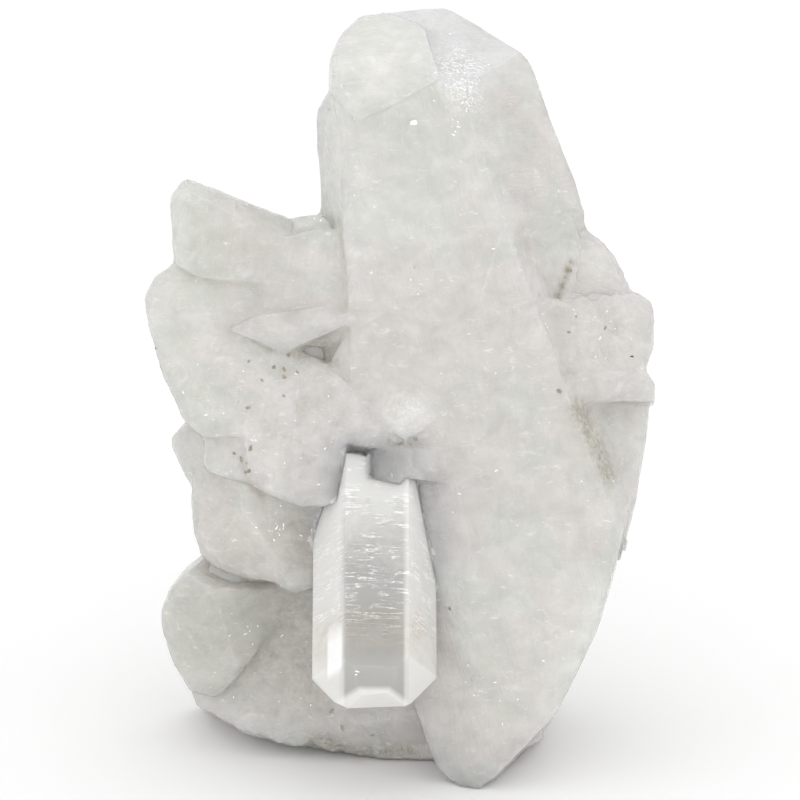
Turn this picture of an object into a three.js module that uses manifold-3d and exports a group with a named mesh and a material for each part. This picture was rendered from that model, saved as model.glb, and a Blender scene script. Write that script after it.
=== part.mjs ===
// A natural quartz cluster, as one solid: the crystals and the broken root mass have all grown into
// each other.
// Millimetres, +Z up. The cluster stands on its flat cut foot at z = 0.
//
// Every crystal is laid out in the cluster's own frame, in which +x is to the right, +y is away from
// the front and +z is up along the cluster. The whole cluster then leans back by LEAN and is cut flat.
import * as THREE from "three";
import { ConvexGeometry } from "three/addons/geometries/ConvexGeometry.js";
import { mergeVertices } from "three/addons/utils/BufferGeometryUtils.js";
import Module from "manifold-3d";

const KING_TIP = [1, 3, 112.5]; // where the tallest crystal's faces would meet
const KING_ROOT = [13, 6, 57];
const BLADE_TIP = [27, -8, 3.5]; // lower end of the great blade
const BLADE_ROOT = [3.5, 4, 81];
const CLEAR_TIP = [-3.5, -18, 12.5]; // lower end of the clear crystal
const CLEAR_ROOT = [-3.5, 1, 52.5];
const CLEAR_RADIUS = 7.4; // half the clear crystal's width across its prism faces
const BROKEN_BACK = [[150, 20], [205, 15], [180, -30]]; // turn and rise of the faces behind a block
const BROAD_BACK = [[165, 12], [200, 10], [180, -15]]; // the same behind the broad blocks
const BACK_SPLAY = 2; // degrees by which a block's sides widen towards the back
const LEAN = 15; // degrees that the cluster leans back on its foot
const FOOT_CUT = 3.6; // height of the foot's cut above the layout's origin, once leaned
const PYRAMID_TILT = 51.8; // degrees between a quartz pyramid face's normal and the long axis
const PRISM_TURN = 60; // degrees between one prism face and the next
const PRISM_FACES = 6;
const NO_TAPER = Array(PRISM_FACES).fill(0); // degrees that each prism face widens by, where it doesn't
const NEAR = 1e-4; // smallest determinant and distance that count as more than nothing
const STOCK = 200; // side of the block that keeps what stands above the foot's cut
const MERGE = 1e-3; // corners nearer than this are one

const wasm = await Module();
wasm.setup();

const vector = (p) => new THREE.Vector3(...p);

// A closed three.js geometry as a solid that can be joined and cut.
function solidOf(geometry) {
  geometry.deleteAttribute("normal");
  geometry.deleteAttribute("uv");
  const merged = mergeVertices(geometry, MERGE);
  return new wasm.Manifold(
    new wasm.Mesh({
      numProp: 3,
      vertProperties: merged.attributes.position.array,
      triVerts: new Uint32Array(merged.index.array),
    }),
  );
}

// The convex solid around a list of corners.
const hull = (corners) => solidOf(new ConvexGeometry(corners));

// The convex solid inside a list of planes whose normals point out.
function solidInside(planes) {
  const corners = [];
  const rows = new THREE.Matrix3();
  for (let i = 0; i < planes.length; i++)
    for (let j = i + 1; j < planes.length; j++)
      for (let k = j + 1; k < planes.length; k++) {
        const three = [planes[i], planes[j], planes[k]];
        rows.set(...three.flatMap((plane) => plane.normal.toArray()));
        if (Math.abs(rows.determinant()) < NEAR) continue;
        const corner = vector(three.map((plane) => -plane.constant)).applyMatrix3(rows.invert());
        if (planes.every((plane) => plane.distanceToPoint(corner) < NEAR)) corners.push(corner);
      }
  return hull(corners);
}

// The direction that looks turn degrees from the front towards the right, and rise degrees up.
function direction(turn, rise) {
  const round = THREE.MathUtils.degToRad(turn);
  const up = THREE.MathUtils.degToRad(rise);
  return vector([Math.sin(round) * Math.cos(up), -Math.cos(round) * Math.cos(up), Math.sin(up)]);
}

// One quartz crystal: a six-sided prism from root to tip, closed by pyramid faces.
//   radii   distance of each prism face from the axis at the tip: the front face, then going right
//   spin    turn of the first prism face from the front towards the right, in degrees
//   taper   degrees by which each prism face widens towards the root
//   drops   how far below the tip each pyramid face meets the axis
//   breaks  extra broken faces: each one's turn and rise, and how far it is from the crystal's middle
function crystal({ root, tip, radii, spin = 0, taper = NO_TAPER, drops, breaks = [] }) {
  const rootPoint = vector(root);
  const tipPoint = vector(tip);
  const middle = rootPoint.clone().lerp(tipPoint, 0.5);
  const axis = tipPoint.clone().sub(rootPoint).normalize();
  const front = vector([0, -1, 0]).addScaledVector(axis, axis.y).normalize();
  const right = axis.clone().cross(front);
  if (right.x < 0) right.negate();
  const planes = [new THREE.Plane().setFromNormalAndCoplanarPoint(axis.clone().negate(), rootPoint)];
  const face = (out, degrees, point) => {
    const angle = THREE.MathUtils.degToRad(degrees);
    const normal = out.clone().multiplyScalar(Math.cos(angle)).addScaledVector(axis, Math.sin(angle));
    planes.push(new THREE.Plane().setFromNormalAndCoplanarPoint(normal, point));
  };
  radii.forEach((radius, k) => {
    const turn = THREE.MathUtils.degToRad(spin + PRISM_TURN * k);
    const out = front.clone().multiplyScalar(Math.cos(turn)).addScaledVector(right, Math.sin(turn));
    face(out, taper[k], tipPoint.clone().addScaledVector(out, radius));
    if (drops) face(out, 90 - PYRAMID_TILT, tipPoint.clone().addScaledVector(axis, -drops[k]));
  });
  if (!drops) planes.push(new THREE.Plane().setFromNormalAndCoplanarPoint(axis, tipPoint));
  for (const [turn, rise, reach] of breaks) {
    const out = direction(turn, rise);
    const point = middle.clone().addScaledVector(out, reach);
    planes.push(new THREE.Plane().setFromNormalAndCoplanarPoint(out, point));
  }
  return solidInside(planes);
}

// A broken block between the crystals.
//   outline  its corners as seen from the front, [x, z], in order
//   fronts   its front faces: each one's turn and rise, and its y at the outline's middle
//   back     y of its back's peak
//   backs    faces that slope from that peak: each one's turn and rise
function block({ outline, fronts, back, backs = BROKEN_BACK }) {
  const points = outline.map(([x, z]) => new THREE.Vector2(x, z));
  const centre = new THREE.Vector2();
  for (const point of points) centre.addScaledVector(point, 1 / points.length);
  const girdle = Math.max(...fronts.map(([, , y]) => y));
  const splay = THREE.MathUtils.degToRad(BACK_SPLAY);
  const planes = fronts.map(([turn, rise, y]) =>
    new THREE.Plane().setFromNormalAndCoplanarPoint(direction(turn, rise), vector([centre.x, y, centre.y])));
  const peak = vector([centre.x, back, centre.y]);
  for (const [turn, rise] of backs)
    planes.push(new THREE.Plane().setFromNormalAndCoplanarPoint(direction(turn, rise), peak));
  points.forEach((from, k) => {
    const edge = points[(k + 1) % points.length].clone().sub(from);
    const out = vector([edge.y, 0, -edge.x]).normalize();
    if (out.x * (from.x - centre.x) + out.z * (from.y - centre.y) < 0) out.negate();
    const side = out.multiplyScalar(Math.cos(splay)).add(vector([0, -Math.sin(splay), 0]));
    planes.push(new THREE.Plane().setFromNormalAndCoplanarPoint(side, vector([from.x, girdle, from.y])));
  });
  return solidInside(planes);
}

// The tallest crystal, which ends in a six-sided point.
const kingCrystal = () => crystal({
  root: KING_ROOT, tip: KING_TIP, spin: -14,
  radii: [20, 9.5, 12.5, 9, 11, 13], taper: [0, 6.5, 7, 3, 3, 10],
  breaks: [
    [-1.5, 0, 12.5], // front face
    [14, 53, 18], // facet of the cap
    [-86, 31, 21.5],
    [-38, 84, 25],
    [103, 51, 20.5],
    [50, -14, 15],
  ],
});
// The regrown lump on the left shoulder of its cap.
const kingCap = () => block({
  outline: [[-9.5, 97], [-9.5, 102.5], [-8, 106], [-5.5, 108.5], [-2, 109], [3, 107], [6, 99], [-6, 93]],
  fronts: [[-4, 3, -8], [0, 40, -7.5], [-14, 58, -6.5]], back: 14,
});

// The great flattened blade across the front, from the upper middle to the lower right.
const greatBlade = () => crystal({
  root: BLADE_ROOT, tip: BLADE_TIP,
  radii: [20, 14, 15, 13, 18, 20],
  breaks: [
    [-1, 2.5, 7.3], // front face
    [-22.5, 3.5, 14], // upper left edge
    [86, -15, 17], // right edge, upper to lower
    [87, -26, 19.5],
    [82, -43.5, 26.5],
    [79, -55.5, 32.3],
    [-20, -4, 11.4], // shaded left side
    [-73.5, -62, 40],
  ],
});

// The rough block at the right.
const rightBlock = () => block({
  outline: [
    [18, 67], [20, 68.5], [23, 69], [33.5, 69.5], [35.5, 68], [35.5, 62], [34, 59], [24.5, 58],
    [21.5, 59],
  ],
  fronts: [[24, 15, -4]], back: 18,
});
// The step under it.
const rightStep = () => block({
  outline: [[22.5, 57], [23, 58.5], [34, 59], [35.5, 57], [35.5, 54.5], [24.5, 54.5]],
  fronts: [[21.5, -12, -5]], back: 17.5,
});
// The broken shoulder between the king crystal and the right block.
const shoulder = () => block({
  outline: [[22, 68], [33, 69], [32, 71.5], [30.5, 74.5], [28.5, 77], [26, 78.5], [24.5, 77.5], [22.5, 74]],
  fronts: [[25, 18, 3]], back: 20,
});
// The quartz under the king crystal's right side, down to the right block.
const rightWeb = () => block({
  outline: [[13.5, 82], [14.5, 74.5], [16, 70], [19, 68], [23.5, 68.5], [25.5, 76], [24, 82]],
  fronts: [[36, 12, -3]], back: 8,
});
// The narrow blade behind the great blade's right edge.
const rightBlade = () => block({
  outline: [[27.5, 56], [35.5, 56], [35, 52], [34, 46], [33.5, 42], [31, 33], [29, 44]],
  fronts: [[28, 14, -1]], back: 17,
});

// The clear crystal that hangs forward from the middle block.
const clearCrystal = () => crystal({
  root: CLEAR_ROOT, tip: CLEAR_TIP, spin: 3,
  radii: Array(PRISM_FACES).fill(CLEAR_RADIUS), drops: [-6, -4.5, -4.5, 1, -5, -5],
  breaks: [[11, -60, 22]],
});

// The crystal that stands out to the upper left.
const upperLeftCrystal = () => block({
  outline: [
    [-32, 83], [-30, 86], [-26.5, 85], [-13.5, 79], [-8.5, 77], [-8.5, 70], [-28, 71.5],
    [-31.5, 73.5],
  ],
  fronts: [[3, 14, -3.5], [34, 50, -6]], back: 12,
});
// The broad crystal at the left, under the upper one.
const midLeftCrystal = () => block({
  outline: [
    [-34, 72], [-31.5, 73.5], [-13, 70], [-14, 50], [-27, 49.5], [-30, 52], [-33, 58.5], [-35, 65],
    [-35.5, 69],
  ],
  fronts: [[-18, 6, -7], [-11, 4, -7], [4.5, 22, -8]], back: 14,
});
// The shallow recess between the left crystals and the king crystal.
const recess = () => block({
  outline: [
    [-31, 74], [-11.5, 78.5], [-6, 78], [-6.5, 64], [-10, 62], [-16, 62], [-22, 63.5], [-29, 68.5],
  ],
  fronts: [[-9, 6, -5]], back: 8,
});
// The chips in the notch between the upper left crystal and the king crystal.
const notchFill = () => block({
  outline: [[-15, 80], [-11, 80.5], [-9.5, 79], [-10.5, 76], [-14.5, 76]],
  fronts: [[-25, 10, -3.5]], back: 7,
});
// The small flat blade that lies across the recess.
const smallBlade = () => block({
  outline: [[-24, 64.5], [-20, 66.5], [-10, 68], [-6.5, 66], [-7.5, 65], [-16, 61]],
  fronts: [[-2.5, 23, -8]], back: 0,
});
// The broken block in the middle, above the clear crystal.
const middleBlock = () => block({
  outline: [
    [-19, 61.5], [-12.5, 61], [-10, 59.5], [-3, 53], [-1, 49], [-2, 44.5], [-9, 40.5], [-13.5, 39.5],
    [-21, 43], [-21.5, 51],
  ],
  fronts: [[0, 15, -11], [9, 10, -10.5], [0, 8, -9.5]], back: 5,
});
// The seam between the middle block and the great blade, grown full of quartz.
const seam = () => block({
  outline: [[-7.5, 64], [-3, 64.5], [3.5, 55.5], [7.5, 49], [7, 40], [0.5, 40], [-10, 59]],
  fronts: [[-2, 3.5, -8]], back: 2,
});
// The milky collar out of which the clear crystal grows, on its left and on its right.
const collar = () => [
  {
    outline: [[-4.5, 44], [-4.5, 47], [-2, 48.5], [1.5, 49], [2, 45], [0, 43]],
    fronts: [[-5, 24, -11]], back: -4,
  },
  {
    outline: [[0.5, 44], [0.5, 49], [4, 48.5], [6.5, 48], [6.5, 43], [2.5, 43.5]],
    fronts: [[12, 24, -10.5], [35, 8, -11]], back: -4,
  },
].map(block);
// The white broken patch where the middle block meets the great blade.
const brokenPatch = () => block({
  outline: [[-4, 53], [-2, 55.5], [3, 56], [5.5, 54.5], [5, 52], [3, 50], [0.5, 49], [-2, 50.5]],
  fronts: [[-8, 14, -10], [12, 6, -10]], back: -4,
});
// The light broken end under the left crystal.
const smallEnd = () => block({
  outline: [[-27, 49.5], [-20.5, 50.5], [-21, 43], [-27, 45]],
  fronts: [[-25, 9.5, -7.5]], back: 6,
});
// The grey end behind it.
const leftProtrusion = () => block({
  outline: [[-30, 51.5], [-26, 51], [-26, 44.5], [-28.5, 41.5], [-30, 44], [-32, 48], [-32, 49.5]],
  fronts: [[-51, 0, -0.5]], back: 16,
});
// The crystal at the lower left, with its bright face.
const lowerLeftCrystal = () => block({
  outline: [
    [-28.5, 45.5], [-16.5, 42], [-16, 31], [-17, 29.5], [-21.5, 30], [-25, 31], [-27.5, 33], [-28.5, 36],
    [-29, 41],
  ],
  fronts: [[-19, -17, -6.5], [-41, 6, -7.5], [18, 9, -9.5]], back: 13,
});
// The stained column between the lower left crystal and the clear one.
const column = () => block({
  outline: [[-19, 42.5], [-7.5, 41], [-8.5, 36.5], [-11, 29.5], [-14, 28], [-17, 29]],
  fronts: [[0, -5, -7.5]], back: 12,
});
// The dark blunt crystal at the bottom left.
const bottomLeftCrystal = () => block({
  outline: [
    [-27, 32.5], [-14, 29.5], [-13.5, 28], [-22, 17], [-25.5, 13], [-29.5, 14], [-32, 18], [-33.5, 23],
    [-33.5, 25], [-32.5, 27.5], [-30, 30.5],
  ],
  fronts: [[-36.5, -12, -3.5], [22.5, -8.5, -4.5], [-19, -20, -3], [26, 60, -15]], back: 20,
});
// The broken root that everything stands on.
const rootMass = () => block({
  outline: [
    [-29.5, 14.5], [-28.5, 11.5], [-21, 7.5], [-10, 5.5], [0, 4], [12, 2.5], [20, 7], [20, 29], [3, 32.5],
    [-14, 29.5], [-21, 27],
  ],
  fronts: [[-12.5, -2, -1.5], [-5, -37, -6]], back: 32, backs: BROAD_BACK,
});
// The quartz inside, which joins the crystals.
const coreMass = () => block({
  outline: [
    [-10, 76], [10, 76.5], [20.5, 77], [26, 72], [30.5, 54], [30.5, 32], [3, 26.5], [-10, 32], [-22, 45],
    [-22.5, 70],
  ],
  fronts: [[14, 0, 0.5], [-12, 0, 0.5]], back: 22, backs: BROAD_BACK,
});

// Crystals of the back, which radiate from the same root.
const backCrystals = () => [
  {
    root: [3, 4, 50], tip: [4, 27, 88], spin: 12,
    radii: [6, 6.5, 5.6, 6.2, 6, 6.4], drops: [0.5, 2, 0.8, 2.6, 0, 2.2],
  },
  {
    root: [-4, 2, 40], tip: [-17, 26, 60], spin: -20,
    radii: [5.6, 6, 6.4, 5.4, 6, 5.8], drops: [1, 0, 2.4, 0.4, 1.8, 0.6],
  },
  {
    root: [8, 2, 55], tip: [23, 26, 62], spin: 30,
    radii: [5.2, 5.6, 5, 5.6, 5.4, 5], drops: [0, 1.4, 0.4, 2.2, 0.6, 1.8],
  },
  {
    root: [8, 2, 44], tip: [23, 29, 36], spin: 8,
    radii: [6.6, 6, 6.2, 6.8, 6, 5.8], drops: [0, 1.6, 0.6, 2.2, 0.5, 2],
  },
  {
    root: [0, 2, 38], tip: [-6, 34, 42], spin: 25,
    radii: [7, 6.4, 7.2, 6.6, 7.4, 6.6], drops: [1.4, 0.2, 2, 0.6, 2.6, 0],
  },
  {
    root: [-6, 2, 34], tip: [-22, 23, 37], spin: -8,
    radii: [5, 5.4, 4.8, 5.6, 5, 5.2], drops: [0.4, 2, 0, 1.2, 2.2, 0.8],
  },
  {
    root: [2, 2, 24], tip: [-9, 33, 21], spin: 18,
    radii: [6.8, 6.2, 6.6, 7, 6.4, 6], drops: [0, 2, 1, 2.4, 0.2, 1.4],
  },
  {
    root: [10, 2, 28], tip: [14, 34, 20], spin: -14,
    radii: [6, 6.6, 6.2, 5.8, 6.6, 6], drops: [1.8, 0, 1.2, 0.2, 2.4, 0.8],
  },
  {
    root: [2, 4, 60], tip: [11, 31, 71], spin: 4,
    radii: [4.8, 5, 4.4, 5.2, 4.6, 5], drops: [0.8, 0, 2, 0.4, 1.6, 0.2],
  },
].map(crystal);

const pieces = [
  kingCrystal(), kingCap(), greatBlade(), clearCrystal(),
  rightBlock(), rightStep(), shoulder(), rightWeb(), rightBlade(),
  upperLeftCrystal(), midLeftCrystal(), recess(), notchFill(), smallBlade(), middleBlock(), seam(),
  smallEnd(), leftProtrusion(), lowerLeftCrystal(), column(), bottomLeftCrystal(), brokenPatch(), rootMass(),
  ...collar(), coreMass(), ...backCrystals(),
];

// Everything that stands above the foot's cut, leaned back, with the cut at z = 0. The outer skin is
// kept, so a hollow that the crystals close off between them is solid quartz.
function cluster() {
  const grown = wasm.Manifold.union(pieces).rotate([-LEAN, 0, 0]).translate([0, 0, -FOOT_CUT]);
  const above = solidOf(new THREE.BoxGeometry(STOCK, STOCK, STOCK).translate(0, 0, STOCK / 2));
  const skins = grown.intersect(above).decompose();
  return skins.reduce((outer, skin) => (skin.volume() > outer.volume() ? skin : outer));
}

// The solid with the middle of its box over the origin.
function centred(solid) {
  const { min, max } = solid.boundingBox();
  return solid.translate([-(min[0] + max[0]) / 2, -(min[1] + max[1]) / 2, 0]);
}

function meshOf(manifold, name, material) {
  const { vertProperties, numProp, numVert, triVerts } = manifold.getMesh();
  const places = new Float32Array(numVert * 3);
  for (let i = 0; i < numVert; i++) {
    const from = i * numProp;
    places.set(vertProperties.subarray(from, from + 3), i * 3);
  }
  const geometry = new THREE.BufferGeometry()
    .setAttribute("position", new THREE.BufferAttribute(places, 3))
    .setIndex(new THREE.BufferAttribute(triVerts, 1));
  geometry.computeVertexNormals();
  const mesh = new THREE.Mesh(geometry, material);
  mesh.name = name;
  return mesh;
}

const milkyQuartz = new THREE.MeshStandardMaterial({ color: 0xd0cfcb, roughness: 0.35, metalness: 0 });
const group = new THREE.Group();
group.add(meshOf(centred(cluster()), "crystal_cluster", milkyQuartz));
export default group;
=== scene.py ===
"""A natural quartz cluster: one milky body of intergrown crystals with a clear crystal on its front.

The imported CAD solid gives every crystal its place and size. The milky body is refined from a merged
copy of that solid, the clear crystal is grown again as its own see-through piece in the socket that is
cut for it, and the veils sealed in it are thin sheets of their own.
"""
import logging
import math
import random
from dataclasses import dataclass, field
from enum import Enum, IntEnum
from functools import reduce

import bmesh
import bpy
import numpy as np
from mathutils import Matrix, Vector, noise
from mathutils.bvhtree import BVHTree

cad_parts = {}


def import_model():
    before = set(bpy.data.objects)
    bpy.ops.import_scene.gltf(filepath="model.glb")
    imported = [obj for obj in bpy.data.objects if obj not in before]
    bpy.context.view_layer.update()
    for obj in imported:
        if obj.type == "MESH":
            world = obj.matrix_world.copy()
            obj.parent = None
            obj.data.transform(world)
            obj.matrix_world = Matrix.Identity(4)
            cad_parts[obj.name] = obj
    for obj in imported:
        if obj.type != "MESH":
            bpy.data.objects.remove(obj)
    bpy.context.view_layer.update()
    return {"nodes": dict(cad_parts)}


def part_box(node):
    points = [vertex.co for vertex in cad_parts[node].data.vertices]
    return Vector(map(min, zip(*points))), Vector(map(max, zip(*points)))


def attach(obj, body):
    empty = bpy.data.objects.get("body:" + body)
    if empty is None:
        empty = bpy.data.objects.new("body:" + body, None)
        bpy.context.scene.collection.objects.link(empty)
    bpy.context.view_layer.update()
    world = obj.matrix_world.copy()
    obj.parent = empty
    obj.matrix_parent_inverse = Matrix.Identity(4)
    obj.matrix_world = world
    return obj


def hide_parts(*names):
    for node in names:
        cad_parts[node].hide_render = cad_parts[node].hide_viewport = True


log = logging.getLogger("quartz_cluster")

MM = 0.001
NODE = "crystal_cluster"
BODY = "root"

# Quartz: the angle from its long axis to a pyramid face's normal, the angle between neighbouring prism
# faces, both in degrees, and its index of refraction.
PYRAMID_TILT = 51.8
PRISM_TURN = 60.0
QUARTZ_IOR = 1.544

# What the camera faces, how far in front of it the camera stands, and so where, in the layout frame.
LOOK_AT = (0.0, 0.0, 54.7)
EYE_DISTANCE = 650.0
EYE = (0.0, -EYE_DISTANCE, LOOK_AT[2])

# How fast a zone fades towards its reach, and how deep behind the layout plane the trails of stain and
# painted shade go.
ZONE_FADE = 2.4
TRAIL_DEPTH = 8.0

# Points nearer than these, in metres, are one point: in the CAD solid, and along the socket's cut.
MERGE = 2e-6
SEAM_MERGE = 5e-6

# Points lower than this above the floor stay where they are, so that the foot stays flat.
FOOT_MM = 0.05

# A mix node's inputs for the factor and the two colours, and its output for the mixed colour.
COLOUR_MIX_INPUTS = (0, 6, 7)
COLOUR_MIX_OUTPUT = 2

Point = tuple[float, float, float]
Range = tuple[float, float]
Socket = bpy.types.NodeSocket
Value = Socket | float


class Slot(Enum):
    """The material slots, by name."""

    MILKY = "milky_quartz"
    CLEAR = "clear_quartz"
    STAIN = "iron_stain"


class Seat(IntEnum):
    """What part of the clear crystal's seat a face of the body belongs to."""

    NONE = 0
    SOCKET = 1
    ROOT = 2


@dataclass(frozen=True)
class Layout:
    """The cluster's own layout frame, in millimetres, in which the crystals are set out.

    In it x is to the right, y is away from the front and z is up along the cluster. The cluster then
    leans back and is cut flat at its foot.
    """

    lean_deg: float = 15.0
    foot_cut: float = 3.6
    left: float = -36.05
    front: float = -17.81
    low_corner: Vector = field(default_factory=Vector)

    @classmethod
    def from_frame(cls) -> "Layout":
        """Return the layout whose left and front ends lie on the CAD box's."""
        low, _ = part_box(NODE)
        return cls(low_corner=low)

    def place(self, point: Point) -> Vector:
        """Turn a layout point into a point of the row frame.

        Args:
            point: Layout x, y and z in millimetres.

        Returns:
            The same point in the row frame, in metres.
        """
        leaned = self.lean() @ Vector(point)
        leaned -= Vector((self.left, self.front, self.foot_cut))
        return leaned * MM + self.low_corner

    def find(self, places: np.ndarray) -> np.ndarray:
        """Turn points of the row frame into layout points.

        Args:
            places: One row a point, in metres.

        Returns:
            The same points in the layout frame, in millimetres.
        """
        leaned = (places - np.array(self.low_corner)) / MM + np.array((self.left, self.front, self.foot_cut))
        return leaned @ np.array(self.lean())

    def from_front(self, across: float, up: float) -> tuple[Vector, Vector]:
        """Return a line of sight from in front, through a place on the layout's upright plane.

        Args:
            across: The place's layout x, in millimetres.
            up: Its layout z, in millimetres.

        Returns:
            Where the line starts and its direction, in the row frame.
        """
        start = self.place(EYE)
        return start, (self.place((across, 0.0, up)) - start).normalized()

    def lean(self) -> Matrix:
        """Return the turn from the layout frame to the row frame."""
        return Matrix.Rotation(math.radians(-self.lean_deg), 3, "X")

    def turn(self, direction: Point) -> Vector:
        """Return a layout direction in the row frame."""
        return (self.lean() @ Vector(direction)).normalized()


@dataclass(frozen=True)
class Zone:
    """A patch of the cluster that differs from the rest, seen from in front.

    The centre is layout x and z, and the reach is where the difference has mostly faded, all in
    millimetres. Rough is the depth of its broken relief in millimetres. Milk, warmth, shade, web and
    lilac are shares of full cloudiness, of the warm tint, of painted shade that darkens the patch, of a
    web of bright fractures and of a faint, paler lilac tone that is painted light on the lit top faces.
    """

    name: str
    centre: tuple[float, float]
    reach: float
    rough: float = 0.0
    milk: float = 0.0
    warmth: float = 0.0
    shade: float = 0.0
    web: float = 0.0
    lilac: float = 0.0


ZONE_VALUES = ("rough", "milk", "warmth", "shade", "web", "lilac")

# Shade in a zone is painted shade, darker where the cluster lies in shade. The cap facet's lilac is painted
# light on that lit face.
ZONES = (
    Zone("cap_facet", (10.5, 103.5), 5.0, lilac=0.3),
    Zone("king_low", (4.0, 66.0), 13.0, warmth=0.45),
    # The recess is made warmer and darker as painted shade.
    Zone("recess", (-17.0, 70.0), 6.0, warmth=0.6, shade=0.06),
    Zone("blade_low", (20.0, 22.0), 10.0, milk=0.15, warmth=-0.55),
    Zone("fracture_web", (8.0, 101.0), 3.5, rough=0.12, milk=0.1, web=1.0),
    Zone("web_trail", (9.5, 96.5), 2.0, web=0.7),
    Zone("cap", (-2.0, 104.0), 8.0, milk=0.3, warmth=-0.2),
    Zone("king_face", (-3.0, 84.0), 17.0, milk=0.1, warmth=-0.5),
    Zone("king_right", (14.5, 85.0), 8.0, warmth=0.1),
    Zone("blade_face", (17.0, 46.0), 16.0, warmth=0.35),
    Zone("blade_tip", (13.5, 14.0), 12.0, warmth=0.3, shade=0.12),
    Zone("right_block", (27.5, 64.0), 7.5, rough=0.6, milk=0.15, warmth=0.6),
    Zone("shoulder", (28.0, 73.5), 6.0, rough=0.3, milk=0.2, warmth=0.2),
    Zone("right_blade", (31.5, 47.0), 7.0, rough=0.1, warmth=-0.4),
    Zone("upper_left", (-22.0, 79.0), 9.0, rough=0.15, warmth=-0.1, shade=0.14),
    Zone("mid_left", (-28.0, 60.0), 8.0, rough=0.25, milk=0.1, warmth=-0.3, shade=0.06),
    Zone("middle_block", (-13.0, 50.5), 10.0, rough=0.5, milk=0.2, warmth=0.5),
    Zone("broken_patch", (1.0, 52.5), 3.5, rough=0.5, milk=0.35, warmth=-0.3, web=0.25),
    Zone("lower_left", (-23.0, 35.0), 6.5, rough=0.15, milk=0.1, warmth=0.1, shade=0.3),
    Zone("column", (-13.0, 35.0), 4.5, rough=0.4, warmth=0.4, shade=0.25),
    Zone("left_protrusion", (-29.5, 47.0), 3.5, shade=0.15),
    Zone("bottom_left", (-26.0, 23.0), 9.0, rough=0.15, warmth=-0.4, shade=0.46),
    Zone("root_mass", (-12.0, 12.0), 13.0, rough=0.5, warmth=0.2),
)


@dataclass(frozen=True)
class Growth:
    """One crystal's long axis, along which its marks run, in layout millimetres."""

    name: str
    root: Point
    tip: Point
    reach: float
    lengthwise: bool = False


GROWTHS = (
    Growth("king", (6.0, 5.0, 70.0), (1.0, 3.0, 112.0), 12.0),
    Growth("great_blade", (8.0, 2.0, 76.0), (26.0, -8.0, 5.0), 15.0, lengthwise=True),
    Growth("right_block", (20.0, 3.0, 62.0), (36.0, 5.0, 65.0), 5.0),
    Growth("shoulder", (24.0, 8.0, 66.0), (29.0, 8.0, 78.0), 5.0),
    Growth("right_blade", (31.5, 5.0, 56.0), (30.0, 3.0, 26.0), 4.0, lengthwise=True),
    Growth("clear_seat", (-3.5, 1.0, 52.5), (-3.5, -18.0, 12.5), 7.0),
    Growth("upper_left", (-8.0, 3.0, 74.0), (-32.0, 0.0, 81.0), 6.0),
    Growth("mid_left", (-16.0, 2.0, 56.0), (-34.0, 0.0, 68.0), 8.0),
    Growth("small_blade", (-7.0, -5.0, 66.0), (-24.0, -8.0, 64.5), 2.5, lengthwise=True),
    Growth("middle_block", (-4.0, -6.0, 48.0), (-20.0, -9.0, 53.0), 7.0),
    Growth("lower_left", (-18.0, 0.0, 41.0), (-25.0, -5.0, 32.0), 5.0),
    Growth("bottom_left", (-15.0, 4.0, 26.0), (-33.0, 4.0, 22.0), 7.0, lengthwise=True),
    Growth("root_mass", (10.0, 10.0, 18.0), (-28.0, 14.0, 10.0), 9.0),
    Growth("back_top", (3.0, 4.0, 50.0), (4.0, 27.0, 88.0), 6.0),
    Growth("back_upper_left", (-4.0, 2.0, 40.0), (-17.0, 26.0, 60.0), 6.0),
    Growth("back_upper_right", (8.0, 2.0, 55.0), (23.0, 26.0, 62.0), 5.0),
    Growth("back_right", (8.0, 2.0, 44.0), (23.0, 29.0, 36.0), 6.0),
    Growth("back_middle", (0.0, 2.0, 38.0), (-6.0, 34.0, 42.0), 7.0),
    Growth("back_left", (-6.0, 2.0, 34.0), (-22.0, 23.0, 37.0), 5.0),
    Growth("back_low_left", (2.0, 2.0, 24.0), (-9.0, 33.0, 21.0), 6.0),
    Growth("back_low_right", (10.0, 2.0, 28.0), (14.0, 34.0, 20.0), 6.0),
    Growth("back_high", (2.0, 4.0, 60.0), (11.0, 31.0, 71.0), 5.0),
)


def zone_values(layout: Layout, places: np.ndarray) -> dict[str, np.ndarray]:
    """Return how rough, milky, warm and shaded each point is.

    Args:
        layout: The cluster's layout.
        places: One row a point, in the row frame, in metres.

    Returns:
        One array of values for each of the zones' properties.
    """
    found = layout.find(places)
    values = {name: np.zeros(len(places)) for name in ZONE_VALUES}
    for zone in ZONES:
        away = np.hypot(found[:, 0] - zone.centre[0], found[:, 2] - zone.centre[1])
        share = np.exp(-((away / zone.reach) ** ZONE_FADE))
        for name, value in values.items():
            value += share * getattr(zone, name)
    return values


@dataclass(frozen=True)
class Trail:
    """A soft trail of iron stain, dust or painted shade, seen from in front, through layout x and z in
    millimetres.
    """

    name: str
    path: tuple[tuple[float, float], ...]
    width: float
    strength: float


# Most trails are iron stain or dust. The trail in the hollow left of the clear crystal and the one in the
# corner under the small blade are painted shade, and the one in the blade's groove is stain and painted
# shade.
TRAILS = (
    Trail("shoulder_crack", ((24.0, 74.0), (23.0, 71.5), (22.0, 69.0)), 0.5, 0.85),
    Trail("blade_groove_stain_and_shade", ((24.5, 53.5), (26.5, 49.5), (29.0, 44.0)), 1.5, 0.75),
    Trail("recess_corner_shade", ((-13.5, 61.0), (-10.5, 62.5), (-9.5, 60.0)), 1.5, 0.55),
    Trail("seam_end", ((-21.0, 43.5), (-19.0, 42.0)), 0.6, 0.5),
    Trail("column_stain", ((-15.0, 38.0), (-13.0, 32.0)), 2.2, 0.3),
    Trail("foot_dirt", ((-12.0, 7.0), (-6.0, 5.0), (1.5, 5.5)), 1.2, 0.7),
    Trail("hollow_shade", ((-15.0, 24.0), (-13.0, 15.0)), 4.0, 0.35),
)


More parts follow.
